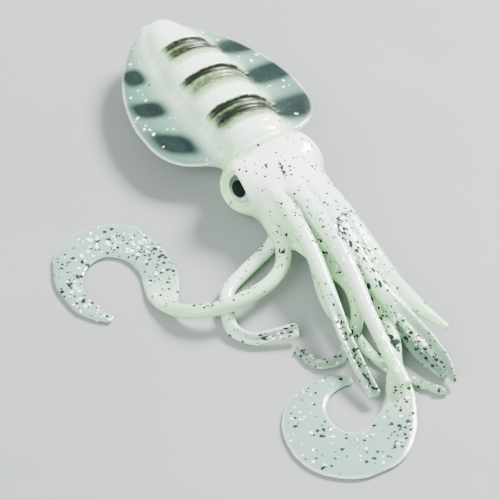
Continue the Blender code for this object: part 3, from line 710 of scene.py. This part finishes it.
def press_socket(points, side):
    """Sinks the skin round a lens: a round floor that flares out below and ends above at a straight brow."""
    r, w, past_brow = about_lens(points, side)
    flare = SOCKET_FLOOR + SOCKET_SLOPE * np.maximum(r - EYE_LENS_RADIUS, 0.0)
    brow = np.maximum(flare, BROW_HEIGHT + BROW_RISE * np.maximum(past_brow, 0.0))
    limit = flare + (brow - flare) * ease(-BROW_FADE, BROW_FADE, past_brow)
    near = (r < SOCKET_REACH) & (w > SOCKET_BEHIND)
    return points - np.outer(np.where(near, np.maximum(w - limit, 0.0), 0.0), eye_axes(side)[3])


def socket_share(points, side):
    """How far each point belongs to the hollow round a lens, from 0 to 1."""
    r, w, past_brow = about_lens(points, side)
    return fade("socket", r) * fade("socket_brow", past_brow) * (w > SOCKET_BEHIND - 0.5)


def nearest_spine(points, spine):
    """The number of the spine station nearest to each point."""
    tree = KDTree(len(spine))
    for k, station in enumerate(spine):
        tree.insert(station[2], k)
    tree.balance()
    return np.array([tree.find(p)[1] for p in points])


def spine_values(spine, station, k):
    """One column of the spine, at each point's nearest station."""
    return np.array([row[k] for row in spine])[station]


def blade_share(points, spine, station):
    """How far each point belongs to a tentacle's flat blade, from 0 to 1."""
    x, y = points[:, 0], points[:, 1]
    tentacle = np.char.startswith(spine_values(spine, station, 0), "tentacle")
    away = np.maximum(fade("limb", y), (x < LEFT_BLADE_CORNER[0]) & (y < LEFT_BLADE_CORNER[1]))
    return tentacle * fade("blade", spine_values(spine, station, 1)) * away


def fin_blotches(points):
    """The soft airbrushed blotches on the fins."""
    x, y = points[:, 0], points[:, 1]
    dark = np.zeros_like(x)
    for middle_x, middle_y, half_width, half_length, slant in FIN_BLOTCHES:
        across = np.abs((x - middle_x) / half_width)
        along = np.abs((y - middle_y - slant * (x - middle_x)) / half_length)
        out = (across**BLOTCH_SQUARENESS + along**BLOTCH_SQUARENESS) ** (1 / BLOTCH_SQUARENESS)
        dark = np.maximum(dark, ease(*BLOTCH_EDGE, out))
    return dark


def masks(points, normals, spine, station, dip):
    """Where on the skin each kind of colour goes, from 0 to 1. The dip is its depth in a valley."""
    x, y, z = points.T
    half_width, _ = mantle_section(np.clip(y, 1.0, 45.0))
    c, s, out = round_mantle(points)
    on_mantle = fade("mantle", y)
    side = np.abs(x - FIN_MIDDLE_X)
    past = side - half_width
    fin = on_mantle * fade("fin", past) * fade("fin_height", np.abs(z - MANTLE_AXIS_Z))
    fin_edge = FIN_HALF_WIDTH * np.array([fin_share(v) for v in y]) - side
    fin_rim = fin * fade("fin_rim", fin_edge)
    above = z > FIN_Z_LOW
    painted = fade("paint", past) * above * fade("paint_height", z) * (1 - RIM_UNPAINTED * fin_rim)

    nearest = np.abs(y[:, None] - np.array(BAR_ROWS)).argmin(1)
    gone, full = np.array([BAR_ENDS[row] for row in BAR_ROWS])[nearest].T
    turned = np.degrees(np.arctan2(s, c))
    bar = on_mantle * fade("bar_out", out) * fade("bar_right", turned) * ease(gone, full, turned)
    sunk = ring_relief(y) * ring_fade(c, s) * on_mantle * ease(*RINGS_OUT, out)

    name, share, centre, up, across, width = (spine_values(spine, station, k) for k in range(6))
    off = points - centre
    rise = (off * up).sum(1)
    beside = np.abs((off * across).sum(1)) / (width / 2)
    blade = blade_share(points, spine, station)
    bend = (x < LEFT_BEND_CORNER[0]) & (y < LEFT_BEND_CORNER[1])
    limb = np.maximum(fade("limb", y), bend.astype(float))
    tentacle = np.char.startswith(name, "tentacle")
    arm = limb * (1 - tentacle)
    film = sum((name == one) * ease(at - 0.08, at + 0.04, share) for one, at in FILMS.items())
    inner = sum((name == one) * ease(at - 0.05, at + 0.15, share) for one, (at, _) in CHANNELS.items())
    tip = fade("tip", share) * arm * ~np.isin(name, SOLID_TIPS) * np.where(name == "hook", HOOK_TIP, 1.0)
    return {
        "fin": fin,
        "clear_fin": on_mantle * fade("clear_fin", past) * fin,
        "rim": np.maximum(fin_rim, blade * fade("blade_rim", beside)),
        "inside": 1 - np.maximum(blade * fade("blade_edge", beside), fin * fade("fin_edge", fin_edge)),
        "back": fade("back", normals[:, 2]),
        "blotch": fin_blotches(points) * on_mantle * painted * fade("flat", np.abs(normals[:, 2])),
        "bar": bar,
        "sunk": np.clip(sunk, 0.0, RING_SHALLOW) / RING_SHALLOW,
        "blade": blade,
        "tip": tip,
        "under": (name == "under") * fade("under", share) * limb,
        "inner": inner * fade("inner", beside) * (rise > 0) * limb,
        "low": fade("low", z) * fade("low_from", y) * (1 - blade) * (name != "hook"),
        "film": film * limb,
        "limb": limb * (1 - blade),
        "flank": on_mantle * fade("flank", np.abs(c)) * above,
        "crown": fade("crown", y) * fade("crown_end", y),
        "socket": np.maximum(socket_share(points, "left"), socket_share(points, "right")),
        "valley": fade("valley", dip) * fade("valley_from", y) * (1 - blade) * (normals[:, 2] > 0.0),
        "arm": arm,
        "tube": tentacle * limb * (1 - blade),
        "crest": (name == "crest") * fade("crest", share) * fade("crest_rise", rise) * arm,
    }


def add_attribute(mesh, name, values):
    layer = mesh.attributes.new(name, "FLOAT", "POINT")
    layer.data.foreach_set("value", np.ascontiguousarray(values, np.float32))


class Nodes:
    """Short calls for building a material."""

    def __init__(self, name):
        self.material = bpy.data.materials.new(name)
        self.material.use_nodes = True
        self.tree = self.material.node_tree
        self.shader = self.tree.nodes["Principled BSDF"]

    def new(self, kind, **inputs):
        node = self.tree.nodes.new(kind)
        for key, value in inputs.items():
            self.put(node.inputs[key], value)
        return node

    def put(self, socket, value):
        if isinstance(value, bpy.types.NodeSocket):
            self.tree.links.new(value, socket)
        else:
            socket.default_value = value

    def set(self, **inputs):
        for key, value in inputs.items():
            self.put(self.shader.inputs[key.replace("_", " ")], value)

    def attribute(self, name):
        node = self.new("ShaderNodeAttribute")
        node.attribute_name = name
        return node.outputs["Fac"]

    def place(self):
        """Object coordinates in millimetres."""
        node = self.new("ShaderNodeVectorMath")
        node.operation = "SCALE"
        self.put(node.inputs[0], self.new("ShaderNodeTexCoord").outputs["Object"])
        self.put(node.inputs["Scale"], 1 / MM)
        return node.outputs[0]

    def noise(self, scale, detail, rough=0.55):
        sizes = {"Scale": scale, "Detail": detail, "Roughness": rough}
        return self.new("ShaderNodeTexNoise", Vector=self.place(), **sizes).outputs["Fac"]

    def math(self, operation, a, b):
        node = self.new("ShaderNodeMath")
        node.operation = operation
        self.put(node.inputs[0], a)
        self.put(node.inputs[1], b)
        return node.outputs[0]

    def times(self, a, b):
        return self.math("MULTIPLY", a, b)

    def steps(self, value, low, high, to_low=0.0, to_high=1.0):
        """Rises smoothly from one value to another as the input goes from low to high."""
        node = self.new("ShaderNodeMapRange")
        node.interpolation_type = "SMOOTHSTEP"
        for socket, number in zip(node.inputs, (value, low, high, to_low, to_high)):
            self.put(socket, number)
        return node.outputs["Result"]

    def mix(self, factor, a, b):
        node = self.new("ShaderNodeMix")
        node.data_type = "RGBA"
        self.put(node.inputs["Factor"], factor)
        for socket, value in ((node.inputs[6], a), (node.inputs[7], b)):
            self.put(socket, (*value, 1.0) if isinstance(value, tuple) else value)
        return node.outputs[2]

    def tint(self, under, share, strength, colour):
        """Lays a colour over another one where the share is high."""
        return self.mix(self.times(share, strength), under, colour)

    def tints(self, under, rows):
        for name, strength, colour in rows:
            under = self.tint(under, self.attribute(name), strength, colour)
        return under

    def ramp(self, value, stops):
        """A curve through (position, grey) stops."""
        node = self.new("ShaderNodeValToRGB", Fac=value)
        points = node.color_ramp.elements
        while len(points) < len(stops):
            points.new(0.5)
        for point, (position, grey) in zip(points, stops):
            point.position = position
            point.color = (grey, grey, grey, 1.0)
        return node.outputs["Color"]

    def bump(self, height, strength, distance):
        node = self.new("ShaderNodeBump", Height=height, Strength=strength, Distance=distance)
        self.put(self.shader.inputs["Normal"], node.outputs["Normal"])


def along_mantle(n, shift):
    """The squid frame's y in millimetres, with a slight waver."""
    split = n.new("ShaderNodeSeparateXYZ", Vector=n.place())
    y = n.math("SUBTRACT", split.outputs["Y"], shift.y / MM)
    waver = n.times(n.math("SUBTRACT", n.noise(0.35, 1.0), 0.5), 0.5)
    grain = n.times(n.math("SUBTRACT", n.noise(2.6, 2.0), 0.5), 0.4)
    return n.math("ADD", y, n.math("ADD", waver, grain))


def bar_darkness(n, shift):
    """How dark the airbrush made the mantle, with streaks along each bar and worn ends."""
    y = along_mantle(n, shift)
    total = 0.0
    for row, shades in BAR_SHADES.items():
        where = n.math("DIVIDE", n.math("ADD", n.math("SUBTRACT", y, row), BAR_REACH), 2 * BAR_REACH)
        stops = [((offset + BAR_REACH) / (2 * BAR_REACH), grey) for offset, grey in shades]
        total = n.math("ADD", total, n.ramp(where, stops))
    streak = n.steps(n.noise(1.1, 4.0, 0.7), 0.3, 0.6, 0.72, 1.0)
    bar = n.attribute("bar")
    grain = n.times(n.math("SUBTRACT", n.noise(0.9, 3.0), 0.5), 0.3)
    worn = n.steps(n.math("ADD", bar, n.times(grain, bar)), 0.05, 0.85)
    return n.times(n.times(total, streak), worn)


def plastisol(shift):
    """Pearl-white soft vinyl: milky, glossy, clearer where it is thin, with airbrushed bars, and with painted
    shade and painted rim highlights in its colour.
    """
    n = Nodes("pearl_plastic")
    cloud = n.noise(0.16, 3.0)
    fine = n.noise(2.2, 2.0)
    thin = n.math("MAXIMUM", n.attribute("fin"), n.attribute("blade"))
    clear = n.math("MAXIMUM", n.attribute("tip"), n.attribute("film"))
    pearl = n.mix(n.attribute("crown"), n.mix(n.steps(cloud, 0.35, 0.65), *PEARL), CROWN_PEARL)
    # Painted shade: darker green on skin facing sideways or down, down the mantle's flanks, in its grooves,
    # round the eyes' hollows, in the valleys between the arms and on the low parts near the floor
    thick = n.tints(n.mix(n.attribute("back"), SIDE_SHADE_PEARL, n.tints(pearl, LIMB_TINT_AND_FLANK_SHADE)), PAINTED_SHADE_TINTS)
    milky = n.tints(n.mix(n.steps(cloud, 0.3, 0.7), *MILKY), BLADE_TINTS)
    # Painted shade on the clear outer fins
    away = n.tints(n.tint(thick, thin, 0.92, milky), FIN_SEE_THROUGH_SHADE)
    # Painted shade on the under arm and a painted highlight on the rims of the fins and blades
    plain = n.tints(n.tint(away, clear, 0.75, CLEAR_TIP), SHADE_CHANNEL_AND_HIGHLIGHT_TINTS)

    blotch = n.attribute("blotch")
    smoke = n.steps(n.noise(0.35, 2.0), 0.3, 0.7, 0.95, 1.0)
    smoky = n.mix(n.times(blotch, smoke), plain, SMOKE)
    dark = bar_darkness(n, shift)
    clean = n.math("SUBTRACT", 1.0, blotch)
    washed = n.mix(n.times(n.steps(dark, 0.03, 0.34), clean), smoky, OLIVE_WASH)
    olive = n.mix(n.times(n.steps(dark, 0.3, 0.6), clean), washed, OLIVE)
    speck = n.times(n.steps(n.noise(3.4, 1.0), 0.62, 0.68), n.steps(dark, 0.25, 0.4))
    speckled = n.mix(speck, olive, OLIVE_SPECK)
    paint = n.steps(dark, 0.2, 0.6)
    dull = n.math("MAXIMUM", paint, n.times(n.attribute("fin"), 0.9))
    n.set(
        Base_Color=n.mix(n.steps(dark, 0.55, 0.9), speckled, BAR_BLACK),
        Roughness=n.math("ADD", n.steps(fine, 0.3, 0.7, 0.18, 0.26), n.times(paint, 0.1)),
        Subsurface_Weight=n.math("SUBTRACT", 0.35, n.times(paint, 0.34)),
        Subsurface_Scale=0.0012,
        Subsurface_Radius=(1.0, 1.0, 0.8),
        Transmission_Weight=n.math("MAXIMUM", n.times(thin, 0.22), n.times(clear, 0.5)),
        IOR=1.46,
        Specular_IOR_Level=0.32,
        Coat_Weight=n.math("SUBTRACT", 0.55, n.times(dull, 0.52)),
        Coat_Roughness=0.12,
    )
    uneven = n.math("ADD", n.noise(0.55, 2.0), n.times(fine, 0.06))
    dents = n.times(uneven, n.math("SUBTRACT", 1.0, n.times(thin, 0.8)))
    crumple = n.times(n.noise(1.3, 3.0), n.times(clear, 2.5))
    n.bump(n.math("ADD", dents, crumple), 0.35, 0.00012)
    return n.material


def flake_material(name, colour, shine, roughness):
    n = Nodes(name)
    tone = n.steps(n.noise(0.9, 1.0), 0.35, 0.65, 0.75, 1.0)
    n.set(
        Base_Color=n.mix(tone, tuple(0.8 * c for c in colour), colour),
        Specular_IOR_Level=shine,
        Roughness=n.steps(n.noise(1.7, 1.0), 0.3, 0.7, roughness * 0.7, roughness * 1.3),
    )
    return n.material


def eye_material():
    """A black pupil on a pale pearl iris, shaded at the top."""
    n = Nodes("eye")
    iris = n.mix(n.steps(n.noise(0.9, 3.0), 0.35, 0.65), *IRIS)
    ringed = n.tints(iris, [("lid", 0.92, LID_SHADE), ("rim", 0.6, IRIS_RING)])
    n.set(
        Base_Color=n.mix(n.attribute("pupil"), ringed, PUPIL),
        Roughness=n.steps(n.noise(1.5, 1.0), 0.3, 0.7, 0.1, 0.16),
        Specular_IOR_Level=0.12,
    )
    return n.material


def scatter(points, faces, density, draw):
    """Places on the skin with a chance in each triangle of its area times the density at its corners."""
    a, b, c = (points[faces[:, k]] for k in range(3))
    area = np.linalg.norm(np.cross(b - a, c - a), axis=1) / 2
    share = draw.random(len(faces))
    chosen = np.nonzero(share < area * density[faces].mean(1))[0]
    u, v = draw.random((2, len(chosen)))
    over = u + v > 1
    u, v = np.where(over, 1 - u, u), np.where(over, 1 - v, v)
    spots = a[chosen] + (b - a)[chosen] * u[:, None] + (c - a)[chosen] * v[:, None]
    normal = np.cross(b - a, c - a)[chosen]
    return spots, normal / np.linalg.norm(normal, axis=1)[:, None]


def sizes_between(limits, count, draw):
    """Sizes in the range, with more small ones than large ones."""
    low, high = limits
    return low + (high - low) * draw.random(count) ** 2


def drift_share(points, normals, route, half_width):
    """One along the middle of a route seen from above, and nothing past its half width."""
    nearest = np.full(len(points), np.inf)
    for a, b in zip(np.array(route), np.array(route)[1:]):
        t = np.clip((points[:, :2] - a) @ (b - a) / ((b - a) @ (b - a)), 0.0, 1.0)
        nearest = np.minimum(nearest, np.linalg.norm(points[:, :2] - a - np.outer(t, b - a), axis=1))
    return ease(half_width, 0.6 * half_width, nearest) * fade("drift", normals[:, 2])


def route_heading(spots, route):
    """The way a route runs, where it passes nearest to each spot."""
    route = np.array(route, float)
    middles = (route[1:] + route[:-1]) / 2
    which = np.linalg.norm(spots[:, None, :2] - middles[None], axis=2).argmin(1)
    ahead = (route[1:] - route[:-1])[which]
    return np.column_stack([ahead, np.zeros(len(spots))])


class Flakes:
    """Flat six-sided flakes lying on the skin, gathered as one mesh."""

    def __init__(self, draw, uneven, tilt):
        self.draw, self.uneven, self.tilt = draw, uneven, tilt
        self.points, self.faces = [], []

    def lay(self, spots, normals, sizes, heading=None, stretch=1.0):
        for k, (spot, normal, size) in enumerate(zip(spots, normals, sizes)):
            up = (Vector(normal) + Vector(self.draw.normal(0.0, self.tilt, 3))).normalized()
            ahead = Vector(heading[k]) if heading is not None else Vector(self.draw.normal(0.0, 1.0, 3))
            side = up.cross(ahead).normalized()
            ahead = side.cross(up)
            first = self.draw.random() * math.tau
            start = len(self.points)
            for corner in range(6):
                angle = first + math.tau * corner / 6
                r = size / 2 * (1 - self.uneven * self.draw.random())
                flat = ahead * (r * math.cos(angle) * stretch) + side * (r * math.sin(angle))
                self.points.append(tuple(Vector(spot) + Vector(normal) * FLAKE_LIFT + flat))
            self.faces.append(tuple(range(start, start + 6)))

    def mesh(self, name, shift):
        return new_mesh(name, within(np.array(self.points), shift).tolist(), self.faces)


def lay_flakes(points, normals, mask, faces, shift):
    """The silver and the black flakes: a thin scatter all over, more on the blades, and the drifts."""
    draw = np.random.default_rng(FLAKE_SEED)
    silver, black = Flakes(draw, *SILVER_SHAPE), Flakes(draw, *BLACK_SHAPE)
    allowed = {silver: mask["inside"], black: mask["inside"] * (1 - mask["crest"])}
    y = points[:, 1]
    plain = fade("painted", mask["blotch"] + 0.6 * mask["bar"])
    back = BLACK_HEAD * fade("head", y) * fade("head_end", y) + BLACK_ALL + BLACK_FRONT * fade("black", y)
    limbs = BLACK_ARM * mask["arm"] + BLACK_TIP * mask["tip"] + BLACK_TUBE * mask["tube"]
    scattered = [
        (silver, SILVER_ALL + SILVER_FIN * mask["fin"] * plain, SILVER_SIZE),
        (silver, SILVER_LIMB * (mask["arm"] + mask["tube"]) * mask["back"], SILVER_SIZE),
        (silver, SILVER_BLADE * mask["blade"], BLADE_SILVER_SIZE),
        (black, back * (1 - mask["fin"]) * mask["back"], BLACK_SIZE),
        (black, limbs, BLACK_SIZE),
        (black, BLACK_BLADE * mask["blade"], BLADE_BLACK_SIZE),
    ]
    for kind, density, limits in scattered:
        spots, facing = scatter(points, faces, density * allowed[kind], draw)
        kind.lay(spots, facing, sizes_between(limits, len(spots), draw))
    for kind, drifts in ((silver, SILVER_DRIFTS), (black, BLACK_DRIFTS)):
        for route, half_width, density, limits, stretch in drifts:
            share = density * drift_share(points, normals, route, half_width) * allowed[kind]
            spots, facing = scatter(points, faces, share, draw)
            sizes = sizes_between(limits, len(spots), draw)
            kind.lay(spots, facing, sizes, route_heading(spots, route), stretch)
    return silver.mesh("glitter_silver", shift), black.mesh("flakes_black", shift)


def to_row_frame(mesh, shift):
    mesh.transform(Matrix.Translation(shift) @ Matrix.Scale(MM, 4))


def add_piece(name, mesh, material):
    piece = linked(name, mesh)
    mesh.materials.clear()
    mesh.materials.append(material)
    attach(piece, "root")
    return piece


def build_eye(side, shift, material):
    front, forward, up, out = eye_axes(side)
    cage = Cage()
    cage.ball(np.zeros(3), np.array([EYE_LENS_RADIUS, EYE_LENS_RADIUS, EYE_LENS_HALF]), 48, 72)
    mesh = cage.mesh("eye_" + side + "_lens")
    local = read(mesh.vertices, "co", 3)
    r = np.hypot(local[:, 0], local[:, 1])
    edge = EYE_PUPIL_RADIUS
    add_attribute(mesh, "pupil", ease(edge + 0.06, edge - 0.06, r))
    add_attribute(mesh, "lid", ease(-1.8, 1.4, 0.8 * local[:, 1] - 0.6 * local[:, 0]))
    add_attribute(mesh, "rim", ease(2.5, 2.9, r) + ease(edge + 0.35, edge + 0.1, r))
    points = front + np.outer(local[:, 0], forward) + np.outer(local[:, 1], up)
    points = points + np.outer(local[:, 2] - EYE_LENS_HALF, out)
    mesh.vertices.foreach_set("co", points.ravel())
    if np.dot(np.cross(forward, up), out) < 0:
        mesh.flip_normals()
    to_row_frame(mesh, shift)
    mesh.shade_smooth()
    piece = add_piece("eye_" + side + "_lens", mesh, material)
    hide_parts("eye_" + side)


def build_floor():
    n = Nodes("pale_floor")
    n.set(Base_Color=n.mix(n.steps(n.noise(0.02, 3.0), 0.3, 0.7), *FLOOR_TONES), Roughness=0.6)
    corners = [(FLOOR_REACH * x, FLOOR_REACH * y, 0) for x, y in ((-1, -1), (1, -1), (1, 1), (-1, 1))]
    mesh = new_mesh("floor", corners, [(0, 1, 2, 3)])
    mesh.materials.append(n.material)
    floor = linked("floor", mesh)


def add_light(name, place, energy, size, colour):
    data = bpy.data.lights.new(name, "AREA")
    data.shape = "DISK"
    data.size = size
    data.energy = energy
    data.color = colour
    lamp = linked(name, data)
    lamp.location = place
    lamp.rotation_euler = (-Vector(place)).to_track_quat("-Z", "Y").to_euler()


def build_studio(shift):
    build_floor()
    for name, light in LIGHTS.items():
        add_light(name, *light)
    world = bpy.data.worlds.new("studio")
    world.use_nodes = True
    sky = world.node_tree.nodes["Background"]
    sky.inputs["Color"].default_value = SKY
    sky.inputs["Strength"].default_value = SKY_STRENGTH
    bpy.context.scene.world = world

    data = bpy.data.cameras.new("camera")
    data.lens = CAMERA_LENS
    data.sensor_width = CAMERA_SENSOR
    data.clip_start = 0.01
    camera = linked("camera", data)
    direction = Vector(CAMERA_DIRECTION).normalized()
    aim = Vector(CAMERA_AIM) * MM + shift
    camera.location = aim + direction * CAMERA_DISTANCE * MM
    camera.rotation_euler = direction.to_track_quat("Z", "Y").to_euler()
    bpy.context.scene.camera = camera


def lure_shift():
    """From the squid frame to the row frame, found from where the left eye was packed."""
    low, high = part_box("eye_left")
    front, _, _, out = eye_axes("left")
    shift = (low + high) / 2 - Vector(front - out * EYE_SOLID_HALF) * MM
    shift.z = 0.0
    return shift


def within(points, shift):
    """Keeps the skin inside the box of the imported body."""
    low, high = (np.array(v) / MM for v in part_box("squid_body"))
    move = np.array(shift) / MM
    return np.clip(points, low - move + 0.01, high - move - 0.01)


def main():
    shift = lure_shift()
    build_studio(shift)
    mesh, points, spine, station, dip = build_skin()
    points = within(points, shift)
    mesh.vertices.foreach_set("co", points.ravel())
    mesh.update()
    mesh.calc_loop_triangles()
    faces = read(mesh.loop_triangles, "vertices", 3, int)
    normals = read(mesh.vertex_normals, "vector", 3)
    mask = masks(points, normals, spine, station, dip)
    for name in SKIN_ATTRIBUTES:
        add_attribute(mesh, name, mask[name])
    silver, black = lay_flakes(points, normals, mask, faces, shift)

    to_row_frame(mesh, shift)
    mesh.shade_smooth()
    skin = add_piece("squid_skin", mesh, plastisol(shift))
    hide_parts("squid_body")
    for flakes, look in ((silver, SILVER_LOOK), (black, BLACK_LOOK)):
        to_row_frame(flakes, shift)
        add_piece(flakes.name, flakes, flake_material(flakes.name, *look))
    eye = eye_material()
    for side in EYES:
        build_eye(side, shift, eye)


main()
